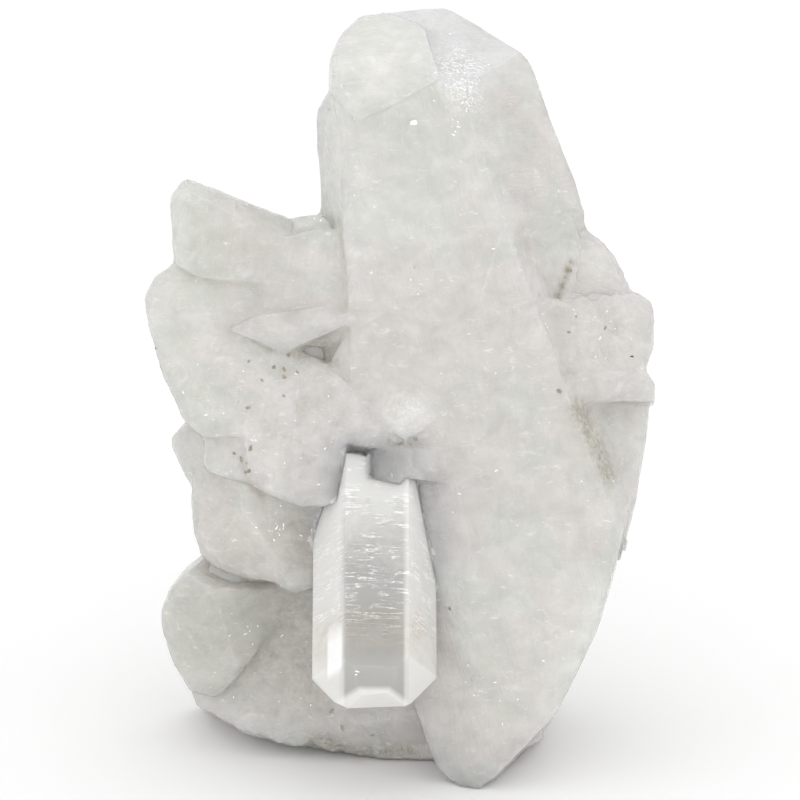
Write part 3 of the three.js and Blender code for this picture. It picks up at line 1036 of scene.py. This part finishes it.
@dataclass
class ClearCrystal:
    """The clear crystal that grows out of the cluster's front, down and forwards.

    Places are layout millimetres and angles are degrees. Each prism face has its own radius, and each
    pyramid face its own drop from the tip. The end plane cuts the tip off where it is broken, and the
    seat plane is where the clear part begins above the milky root.
    """

    root: Point = (-3.5, 1.0, 52.5)
    tip: Point = (-3.5, -18.0, 12.5)
    radii: tuple[float, ...] = (7.4,) * 6
    drops: tuple[float, ...] = (-6.0, -4.5, -4.5, 1.0, -5.0, -5.0)
    spin: float = 3.0
    end_turn: float = 11.0
    end_rise: float = -60.0
    end_reach: float = 22.0
    seat: float = 8.0
    seat_tilt: float = 0.15
    seat_reach_mm: float = 0.1
    side_reach_mm: float = 0.2
    block_mm: float = 200.0
    bevel_mm: float = 0.1
    longest_mm: float = 1.6
    front_room_mm: float = 0.05
    back_grip_mm: float = 0.5
    buried_faces: tuple[int, ...] = (3,)

    def frame(self) -> tuple[Vector, Vector, Vector]:
        """Return the crystal's front, right and axis in the layout frame."""
        axis = (Vector(self.tip) - Vector(self.root)).normalized()
        front = (Vector((0.0, -1.0, 0.0)) + axis * axis.y).normalized()
        right = axis.cross(front)
        return front, -right if right.x < 0.0 else right, axis

    def seat_plane(self) -> tuple[Vector, Vector]:
        """Return a point on the clear part's upper end and that end's outward normal, in the layout frame."""
        _, right, axis = self.frame()
        return Vector(self.root) + axis * self.seat, (right * self.seat_tilt - axis).normalized()

    def holds(self, place: np.ndarray) -> Seat:
        """Return whether a layout point lies on the clear part's socket, on the milky root or on neither."""
        front, right, axis = self.frame()
        away = Vector(place) - Vector(self.tip)
        turns = (math.radians(self.spin + PRISM_TURN * k) for k in range(len(self.radii)))
        sides = (away.dot(front) * math.cos(turn) + away.dot(right) * math.sin(turn) for turn in turns)
        if any(side >= radius + self.side_reach_mm for side, radius in zip(sides, self.radii)):
            return Seat.NONE
        point, up = self.seat_plane()
        above = (Vector(place) - point).dot(up)
        return Seat.SOCKET if above < self.back_grip_mm + self.seat_reach_mm else Seat.ROOT

    def solid(self, layout: Layout, as_cutter: bool = False) -> bmesh.types.BMesh:
        """Grow the crystal from a cube by cutting its faces.

        Args:
            layout: Where the crystal stands.
            as_cutter: Whether to make the tool for its socket, which leaves the buried faces a grip.

        Returns:
            The closed crystal, in the row frame.
        """
        room = self.front_room_mm if as_cutter else 0.0
        bm = bmesh.new()
        bmesh.ops.create_cube(bm, size=self.block_mm)
        root, tip = Vector(self.root), Vector(self.tip)
        front, right, axis = self.frame()
        seat, up = self.seat_plane()
        cut_away(bm, seat - up * (self.back_grip_mm if as_cutter else 0.0), up)
        for k, (radius, drop) in enumerate(zip(self.radii, self.drops)):
            turn = math.radians(self.spin + PRISM_TURN * k)
            out = front * math.cos(turn) + right * math.sin(turn)
            grip = self.back_grip_mm if as_cutter and k in self.buried_faces else -room
            cut_away(bm, tip + out * (radius - grip), out)
            tilt = math.radians(PYRAMID_TILT)
            slope = (out * math.sin(tilt) + axis * math.cos(tilt)).normalized()
            cut_away(bm, tip - axis * drop + slope * room, slope)
        turn, rise = math.radians(self.end_turn), math.radians(self.end_rise)
        slope = Vector((math.sin(turn) * math.cos(rise), -math.cos(turn) * math.cos(rise), math.sin(rise)))
        cut_away(bm, (root + tip) * 0.5 + slope * (self.end_reach + room), slope)
        for vert in bm.verts:
            vert.co = layout.place(tuple(vert.co))
        bmesh.ops.recalc_face_normals(bm, faces=bm.faces[:])
        return bm

    def build(self, layout: Layout) -> bpy.types.Object:
        """Build and dress the crystal.

        Args:
            layout: Where the crystal stands.

        Returns:
            The crystal's object.
        """
        bm = self.solid(layout)
        width = self.bevel_mm * MM
        edges = bm.edges[:]
        bmesh.ops.bevel(bm, geom=edges, offset=width, segments=2, profile=0.5, affect="EDGES", material=-1)
        refine(bm, self.longest_mm * MM)
        piece = add_piece("clear_crystal", bm, ClearQuartz().build())
        front, right, axis = self.frame()
        found = layout.find(places_of(piece.data)) - np.array(self.root)
        own = np.stack([found @ np.array(right), found @ np.array(front), found @ np.array(axis)], axis=1)
        made = piece.data.attributes.new("grain", "FLOAT_VECTOR", "POINT")
        made.data.foreach_set("vector", own.astype(np.float32).ravel())
        return piece


# ---------------------------------------------------------------- the milky body


def socketed_copy(
    name: str, source: bpy.types.Object, finish: bpy.types.Material, layout: Layout, clear: ClearCrystal
) -> bpy.types.Object:
    """Copy the CAD solid as a new piece, with the clear crystal's socket cut in it.

    Args:
        name: The piece's name.
        source: The CAD node.
        finish: The piece's finish.
        layout: The cluster's layout.
        clear: The clear crystal.

    Returns:
        The piece.
    """
    bm = bmesh.new()
    bm.from_mesh(source.data)
    bmesh.ops.remove_doubles(bm, verts=bm.verts[:], dist=MERGE)
    piece = add_piece(name, bm, finish)
    cut_socket(piece, clear.solid(layout, as_cutter=True))
    return piece


@dataclass
class MilkyBody:
    """The milky mass of intergrown crystals, refined from the CAD solid."""

    longest_mm: float = 0.95
    flat_deg: float = 0.4
    wave_mm: float = 0.25
    wave_scale: float = 0.1
    lump_scale: float = 0.36
    knob_scale: float = 0.85
    knob_share: float = 0.6
    lump_sink: float = 0.6
    grain_mm: float = 0.05
    grain_scale: float = 1.1
    chip_mm: float = 0.2
    chip_scale: float = 0.55
    chip_from: float = 0.15
    sharp_deg: float = 14.0
    sharp_fade: float = 0.5
    wear_rounds: int = 5
    rough_rounds: int = 3
    rough_from: float = 0.12
    crown_slope: float = 0.3
    crown_from: float = 97.0
    crown_right: float = 3.0
    facet_turn: float = 6.0
    facet_place: float = 0.11
    socket_milk: float = 2.0
    root_milk: float = 0.5
    socket_stain: float = 0.2

    def build(self, source: bpy.types.Object, layout: Layout, clear: ClearCrystal) -> bpy.types.Object:
        """Build and dress the body.

        Args:
            source: The CAD node.
            layout: The cluster's layout.
            clear: The clear crystal, for its socket.

        Returns:
            The body's object.
        """
        piece = socketed_copy("milky_body", source, MilkySkin().build(), layout, clear)
        bm = bmesh.new()
        bm.from_mesh(piece.data)
        bmesh.ops.remove_doubles(bm, verts=bm.verts[:], dist=SEAM_MERGE)
        flat = math.radians(self.flat_deg)
        bmesh.ops.dissolve_limit(bm, angle_limit=flat, verts=bm.verts[:], edges=bm.edges[:])
        self.mark_facets(bm, layout, clear)
        refine(bm, self.longest_mm * MM)
        self.write_grain(bm, layout)
        self.wear(bm, layout)
        values = self.weather(bm, layout)
        bm.to_mesh(piece.data)
        bm.free()
        write_values(piece.data, values)
        log.info("milky_body refined: %d faces", len(piece.data.polygons))
        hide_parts(NODE)
        return piece

    def mark_facets(self, bm: bmesh.types.BMesh, layout: Layout, clear: ClearCrystal) -> None:
        """Note each facet's tone and crystal, and how sharp each edge is, before they are refined.

        Args:
            bm: The body, with one face a facet.
            layout: The cluster's layout.
            clear: The clear crystal, whose socket is noted too.
        """
        socket = bm.faces.layers.int.new("socket")
        tone = bm.faces.layers.float.new("facet")
        crown = bm.faces.layers.float.new("crown")
        growth = bm.faces.layers.int.new("growth")
        sharp = bm.edges.layers.float.new("sharp")
        bm.normal_update()
        for face in bm.faces:
            middle = face.calc_center_median()
            face[tone] = noise.noise(face.normal * self.facet_turn + middle / MM * self.facet_place)
            place = layout.find(np.array([middle]))[0]
            face[growth] = nearest_growth(place)
            face[socket] = clear.holds(place)
            # Upward faces high on the king's right get the crown share, which is painted light.
            upward = float((face.normal @ layout.lean()).z)
            high = place[2] > self.crown_from and place[0] > self.crown_right
            face[crown] = float(high and upward > self.crown_slope)
        for edge in bm.edges:
            edge[sharp] = edge.calc_face_angle_signed(0.0)

    def write_grain(self, bm: bmesh.types.BMesh, layout: Layout) -> None:
        """Write each face's own crystal coordinates, in which z runs along the crystal.

        Args:
            bm: The refined body.
            layout: The cluster's layout.
        """
        growth = bm.faces.layers.int["growth"]
        grain = bm.loops.layers.float_vector.new("grain")
        bases = [growth_basis(item) for item in GROWTHS]
        bm.verts.index_update()
        found = layout.find(np.array([vert.co[:] for vert in bm.verts]))
        turned = [found @ basis.T for basis in bases]
        for face in bm.faces:
            own = turned[face[growth]]
            for loop in face.loops:
                loop[grain] = own[loop.vert.index]

    def wear(self, bm: bmesh.types.BMesh, layout: Layout) -> None:
        """Round the edges and corners, and the rough parts more.

        Args:
            bm: The refined body.
            layout: The cluster's layout.
        """
        socket = bm.faces.layers.int["socket"]
        rough = zone_values(layout, np.array([vert.co[:] for vert in bm.verts]))["rough"]
        free = [v.co.z > FOOT_MM * MM and not any(face[socket] for face in v.link_faces) for v in bm.verts]
        least = self.rough_from
        worn = [vert for vert, moves in zip(bm.verts, free) if moves]
        broken = [vert for vert, moves, much in zip(bm.verts, free, rough) if moves and much > least]
        soften(bm, worn, self.wear_rounds)
        soften(bm, broken, self.rough_rounds)

    def weather(self, bm: bmesh.types.BMesh, layout: Layout) -> dict[str, np.ndarray]:
        """Break, wave and chip the faces a little, as on grown and broken crystals.

        Args:
            bm: The refined body.
            layout: The cluster's layout.

        Returns:
            The values of each point that the finish reads.
        """
        bm.normal_update()
        values = zone_values(layout, np.array([vert.co[:] for vert in bm.verts]))
        rims, creases = self.edge_shares(bm)
        socket = bm.faces.layers.int["socket"]
        seated = [
            min((face[socket] for face in vert.link_faces if face[socket]), default=Seat.NONE)
            for vert in bm.verts
        ]
        for index in np.flatnonzero(seated):
            in_socket = seated[index] == Seat.SOCKET
            values["milk"][index] = self.socket_milk if in_socket else self.root_milk
            rims[index] = creases[index] = 0.0
        moves = []
        for vert, rim, rough, held in zip(bm.verts, rims, values["rough"], seated):
            still = held or vert.co.z < FOOT_MM * MM
            moves.append(Vector() if still else vert.normal * self.relief(vert.co / MM, rim, rough) * MM)
        for vert, move in zip(bm.verts, moves):
            vert.co += move
            vert.co.z = max(vert.co.z, 0.0)
        for face in bm.faces:
            face.smooth = True
        for edge in bm.edges:
            edge.smooth = True
        stain = stain_and_shade_values(layout, np.array([vert.co[:] for vert in bm.verts]))
        stain[np.array(seated) == Seat.SOCKET] = self.socket_stain
        return values | {"rim": np.array(rims), "crease": np.array(creases), "stain": stain}

    def edge_shares(self, bm: bmesh.types.BMesh) -> tuple[list[float], list[float]]:
        """Return how much each point lies on an outer edge of the facets, and how much in a crease."""
        sharp = bm.edges.layers.float["sharp"]
        least = math.radians(self.sharp_deg)
        rims, creases = [], []
        for vert in bm.verts:
            turns = [edge[sharp] for edge in vert.link_edges]
            rims.append(min(1.0, max(0.0, max(turns) - least) / self.sharp_fade))
            creases.append(min(1.0, max(0.0, -min(turns) - least) / self.sharp_fade))
        return rims, creases

    def relief(self, point: Vector, rim: float, rough: float) -> float:
        """Return how far a point stands out of its facet.

        Args:
            point: The point in the row frame, in millimetres.
            rim: How much it lies on an outer edge, which is chipped.
            rough: The depth of its broken relief, in millimetres.

        Returns:
            The lift along its normal, in millimetres.
        """
        wave = noise.fractal(point * self.wave_scale, 1.0, 2.0, 3)
        lumps = 1.0 - 2.0 * abs(noise.noise(point * self.lump_scale + Vector((3.0, 9.0, 1.0))))
        lumps += self.knob_share * noise.noise(point * self.knob_scale)
        chip = noise.fractal(point * self.chip_scale + Vector((7.0, 3.0, 5.0)), 0.7, 2.1, 4)
        chip = max(0.0, chip + self.chip_from) * rim
        fine = noise.noise(point * self.grain_scale)
        lift = wave * self.wave_mm + (lumps - self.lump_sink) * rough
        return lift + fine * self.grain_mm - chip * self.chip_mm


def growth_basis(growth: Growth) -> np.ndarray:
    """Return the rows that turn layout points into a crystal's own coordinates.

    Args:
        growth: The crystal's axis.

    Returns:
        Three rows. The last runs along the crystal, or across it for marks that run lengthwise.
    """
    along = (Vector(growth.tip) - Vector(growth.root)).normalized()
    front = (Vector((0.0, -1.0, 0.0)) + along * along.y).normalized()
    across = along.cross(front)
    rows = (along, front, across) if growth.lengthwise else (across, front, along)
    return np.array([row[:] for row in rows])


def nearest_growth(point: np.ndarray) -> int:
    """Return the number of the crystal whose axis is nearest to a layout point, for its reach."""
    scores = []
    for growth in GROWTHS:
        root, tip = np.array(growth.root), np.array(growth.tip)
        run = tip - root
        share = np.clip((point - root) @ run / (run @ run), 0.0, 1.0)
        scores.append(np.linalg.norm(point - root - run * share) / growth.reach)
    return int(np.argmin(scores))


@dataclass
class MilkyCore:
    """The cloudy core, shrunk from the CAD solid and lumped so that the skin over it varies in depth."""

    voxel_mm: float = 1.3
    depth_mm: float = 2.6
    vary_mm: float = 1.3
    vary_scale: float = 0.13
    shallowest_mm: float = 0.7
    least_mm: float = 0.9
    first_rounds: int = 3
    last_rounds: int = 4

    def build(self, source: bpy.types.Object, layout: Layout, clear: ClearCrystal) -> bpy.types.Object:
        """Build and dress the core.

        Args:
            source: The CAD node.
            layout: The cluster's layout.
            clear: The clear crystal, which the core stays out of.

        Returns:
            The core's object.
        """
        piece = socketed_copy("cloudy_core", source, CloudyCore().build(), layout, clear)
        skin = skin_of(piece)
        modifier = piece.modifiers.new("remesh", "REMESH")
        modifier.mode = "VOXEL"
        modifier.voxel_size = self.voxel_mm * MM
        freeze(piece)
        bm = bmesh.new()
        bm.from_mesh(piece.data)
        soften(bm, bm.verts[:], self.first_rounds)
        bm.normal_update()
        for vert in bm.verts:
            lump = noise.fractal(vert.co / MM * self.vary_scale, 0.9, 2.1, 4)
            vert.co -= vert.normal * max(self.shallowest_mm, self.depth_mm + lump * self.vary_mm) * MM
        soften(bm, bm.verts[:], self.last_rounds)
        keep_inside(bm, skin, self.least_mm * MM)
        bm.to_mesh(piece.data)
        bm.free()
        piece.data.shade_smooth()
        values = zone_values(layout, places_of(piece.data))
        write_values(piece.data, {name: values[name] for name in ("warmth", "shade")})
        return piece


# ---------------------------------------------------------------- veils and marks


@dataclass(frozen=True)
class Sheet:
    """One veil in the clear crystal.

    Along is how far from the crystal's root it lies, side and forward how far off its axis, all in
    millimetres. Size is its half width and half height. Tilt and turn are degrees, from a sheet that
    lies square across the axis.
    """

    along: float
    side: float
    forward: float
    size: tuple[float, float]
    tilt: float
    turn: float = 0.0
    wave: float = 0.5


@dataclass
class CrystalVeils:
    """The pale veils sealed in the clear crystal."""

    sheets: tuple[Sheet, ...] = (
        Sheet(8.0, 0.0, -1.0, (6.0, 6.0), 25.0, 0.0, 1.2),
        Sheet(14.0, -1.0, 0.0, (5.5, 5.5), 55.0, 15.0, 1.2),
        Sheet(21.0, 1.5, 1.0, (4.2, 6.5), 68.0, -20.0, 0.9),
        Sheet(28.0, -1.5, -1.5, (4.5, 6.0), 74.0, 10.0, 0.8),
        Sheet(33.5, 0.3, 0.5, (5.2, 4.4), 22.0, 8.0, 0.7),
        Sheet(36.0, 1.0, 1.5, (4.4, 3.4), 35.0, -25.0, 0.6),
        Sheet(31.0, 3.6, 0.0, (1.6, 7.0), 86.0, 55.0, 0.5),
    )
    cuts: int = 26
    wave_scale: float = 0.35
    edge_scale: float = 1.6
    edge_least: float = 0.85
    edge_vary: float = 0.3

    def build(self, layout: Layout, clear: ClearCrystal) -> bpy.types.Object:
        """Build and dress the veils.

        Args:
            layout: The cluster's layout.
            clear: The clear crystal.

        Returns:
            The veils' object.
        """
        front, right, axis = clear.frame()
        basis = Matrix((right, front, axis)).transposed()
        whole = bmesh.new()
        for number, sheet in enumerate(self.sheets):
            made = bmesh.ops.create_grid(whole, x_segments=self.cuts, y_segments=self.cuts, size=1.0)["verts"]
            past = [vert for vert in made if self.beyond(vert.co, number)]
            kept = [vert for vert in made if not self.beyond(vert.co, number)]
            bmesh.ops.delete(whole, geom=past, context="VERTS")
            tilt = Matrix.Rotation(math.radians(sheet.tilt), 3, "X")
            tilt = Matrix.Rotation(math.radians(sheet.turn), 3, "Z") @ tilt
            for vert in kept:
                across, up = vert.co.x * sheet.size[0], vert.co.y * sheet.size[1]
                at = Vector((across * self.wave_scale, up * self.wave_scale, number * 7.0))
                swell = noise.fractal(at, 0.9, 2.0, 4)
                own = tilt @ Vector((across, up, swell * sheet.wave))
                own += Vector((sheet.side, sheet.forward, sheet.along))
                vert.co = layout.place(tuple(Vector(clear.root) + basis @ own))
        return add_piece("crystal_veils", whole, Veil().build())

    def beyond(self, place: Vector, number: int) -> bool:
        """Return whether a place on a unit sheet lies past its ragged edge."""
        at = Vector((place.x * self.edge_scale, place.y * self.edge_scale, number * 3.0))
        return place.x**2 + place.y**2 > self.edge_least + self.edge_vary * noise.noise(at)


@dataclass(frozen=True)
class Mark:
    """A small mark on the surface: layout x and z seen from in front, size, flatness and length to width."""

    across: float
    up: float
    size: float
    flatness: float
    stretch: float


@dataclass
class SurfaceMarks:
    """Small marks that sit on the surface, each a little broken lump."""

    name: str
    finish: Fleck
    slot: Slot
    marks: tuple[Mark, ...]
    splits: int = 2
    turn_step: float = 2.4
    lump_scale: float = 1.4
    lump_height: float = 0.45

    def build(self, layout: Layout, skin: BVHTree) -> bpy.types.Object:
        """Build and dress the marks.

        Args:
            layout: The cluster's layout.
            skin: The surface that they sit on.

        Returns:
            The marks' object.
        """
        whole = bmesh.new()
        for number, mark in enumerate(self.marks):
            place, normal, _, _ = skin.ray_cast(*layout.from_front(mark.across, mark.up))
            if place is None:
                continue
            turn = Matrix.Rotation(number * self.turn_step, 3, "Z")
            stand = normal.to_track_quat("Z", "Y").to_matrix()
            shape = Matrix.Diagonal((mark.stretch, 1.0, mark.flatness)) * (mark.size * 0.5 * MM)
            made = bmesh.ops.create_icosphere(whole, subdivisions=self.splits, radius=1.0)["verts"]
            for vert in made:
                lump = noise.noise(vert.co * self.lump_scale + Vector((number * 5.0, 0.0, 0.0)))
                vert.co = place + stand @ turn @ shape @ (vert.co * (1.0 + self.lump_height * lump))
        return add_piece(self.name, whole, self.finish.build())


# Where marks are strewn: layout x and z, spread and how many.
IRON_SPOTS = (
    (-17.0, 58.0, 2.5, 8),
    (-21.0, 46.0, 1.5, 6),
    (1.0, 49.0, 0.8, 3),
    (28.0, 63.5, 3.0, 4),
    (23.0, 72.5, 0.8, 2),
    (-5.0, 5.5, 3.5, 6),
)
GLITTER_SPOTS = (
    (8.0, 100.5, 1.6, 60),
    (9.5, 96.5, 0.7, 16),
    (8.0, 92.5, 0.7, 8),
    (-12.5, 81.0, 1.0, 14),
    (-17.0, 37.0, 1.2, 14),
    (-12.0, 36.0, 0.8, 10),
    (-22.5, 21.5, 2.0, 12),
    (-26.0, 57.0, 3.5, 10),
    (-14.0, 50.0, 4.0, 14),
    (28.0, 63.5, 3.0, 16),
    (4.0, 75.0, 9.0, 12),
    (17.0, 44.0, 7.0, 12),
    (14.0, 16.0, 4.0, 8),
    (-14.0, 13.0, 4.0, 12),
)

# The ranges of the marks' sizes in millimetres, how long they are drawn out and how flat they are.
IRON_SIZE, IRON_STRETCH, IRON_FLATNESS = (0.35, 0.6), (1.2, 1.9), 0.4
GLITTER_SIZE, GLITTER_STRETCH, GLITTER_FLATNESS = (0.08, 0.24), (1.0, 3.4), (0.15, 0.3)


def iron_marks() -> tuple[Mark, ...]:
    """Return iron specks, a few around each of the places where iron has settled."""
    draw = random.Random(7)
    marks = []
    for across, up, spread, count in IRON_SPOTS:
        for _ in range(count):
            place = draw.gauss(across, spread), draw.gauss(up, spread)
            size = draw.uniform(*IRON_SIZE)
            marks.append(Mark(*place, size, IRON_FLATNESS, draw.uniform(*IRON_STRETCH)))
    return tuple(marks)


def glitter_marks() -> tuple[Mark, ...]:
    """Return bright flecks: dense on the fractures at the top, thin all over, and one larger than those."""
    draw = random.Random(11)
    marks = [Mark(2.0, 93.5, 0.9, 0.5, 1.4)]
    for across, up, spread, count in GLITTER_SPOTS:
        for _ in range(count):
            place = draw.gauss(across, spread), draw.gauss(up, spread)
            size, flatness = draw.uniform(*GLITTER_SIZE), draw.uniform(*GLITTER_FLATNESS)
            marks.append(Mark(*place, size, flatness, draw.uniform(*GLITTER_STRETCH)))
    return tuple(marks)


# ---------------------------------------------------------------- the studio


@dataclass
class Studio:
    """The plain floor, soft light and camera."""

    lens_mm: float = 208.9
    floor_size: float = 6.0
    floor_drop: float = 0.0003
    world_strength: float = 1.02

    def build(self, layout: Layout) -> None:
        """Set up the whole studio.

        Args:
            layout: The cluster's layout, whose upright plane faces the camera.
        """
        self.lay_floor()
        self.light()
        self.aim_camera(layout)
        bpy.context.scene.view_settings.view_transform = "Standard"
        bpy.context.scene.view_settings.look = "None"

    def lay_floor(self) -> None:
        """Lay the floor plane."""
        bm = bmesh.new()
        bmesh.ops.create_grid(bm, x_segments=1, y_segments=1, size=self.floor_size / 2.0)
        mesh = bpy.data.meshes.new("studio_floor")
        bm.to_mesh(mesh)
        bm.free()
        mesh.materials.append(StudioFloor().build())
        floor = bpy.data.objects.new("studio_floor", mesh)
        floor.location.z = -self.floor_drop
        bpy.context.scene.collection.objects.link(floor)

    def light(self) -> None:
        """Set the soft surround and the lights."""
        world = bpy.data.worlds.new("soft_surround")
        world.use_nodes = True
        background = world.node_tree.nodes["Background"]
        background.inputs["Color"].default_value = (1.0, 1.0, 1.0, 1.0)
        background.inputs["Strength"].default_value = self.world_strength
        bpy.context.scene.world = world
        self.add_light("top_softbox", (0.0, 0.1, 1.0), (0.0, 0.0, 0.05), 1.2, 1.0)
        self.add_light("front_softbox", (0.0, -1.3, 0.42), (0.0, 0.0, 0.05), 1.0, 2.8)

    def add_light(self, name: str, place: Point, aim: Point, size: float, power: float) -> None:
        """Add a square area light.

        Args:
            name: The light's name.
            place: Where it hangs, in metres.
            aim: The point that it faces, in metres.
            size: Its side, in metres.
            power: Its power, in watts.
        """
        data = bpy.data.lights.new(name, "AREA")
        data.size = size
        data.energy = power
        lamp = bpy.data.objects.new(name, data)
        lamp.location = place
        lamp.rotation_euler = (Vector(aim) - Vector(place)).to_track_quat("-Z", "Y").to_euler()
        bpy.context.scene.collection.objects.link(lamp)

    def aim_camera(self, layout: Layout) -> None:
        """Set the camera square to the layout's upright plane.

        Args:
            layout: The cluster's layout.
        """
        data = bpy.data.cameras.new("camera")
        data.lens = self.lens_mm
        data.clip_start = 0.01
        data.clip_end = 50.0
        camera = bpy.data.objects.new("camera", data)
        away = layout.turn((0.0, 1.0, 0.0))
        camera.location = layout.place(LOOK_AT) - away * (EYE_DISTANCE * MM)
        camera.rotation_euler = away.to_track_quat("-Z", "Y").to_euler()
        bpy.context.scene.collection.objects.link(camera)
        bpy.context.scene.camera = camera


def main() -> None:
    """Build the cluster and its studio."""
    logging.basicConfig(level=logging.INFO, format="%(name)s: %(message)s")
    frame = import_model()
    layout = Layout.from_frame()
    Studio().build(layout)
    clear = ClearCrystal()
    body = MilkyBody().build(frame["nodes"][NODE], layout, clear)
    MilkyCore().build(frame["nodes"][NODE], layout, clear)
    crystal = clear.build(layout)
    CrystalVeils().build(layout, clear)
    surface = skin_of(body, crystal)
    SurfaceMarks("iron_specks", Fleck(), Slot.STAIN, iron_marks()).build(layout, surface)
    SurfaceMarks("bright_flecks", GLITTER, Slot.MILKY, glitter_marks(), splits=1).build(layout, surface)


if __name__ == "__main__":
    main()
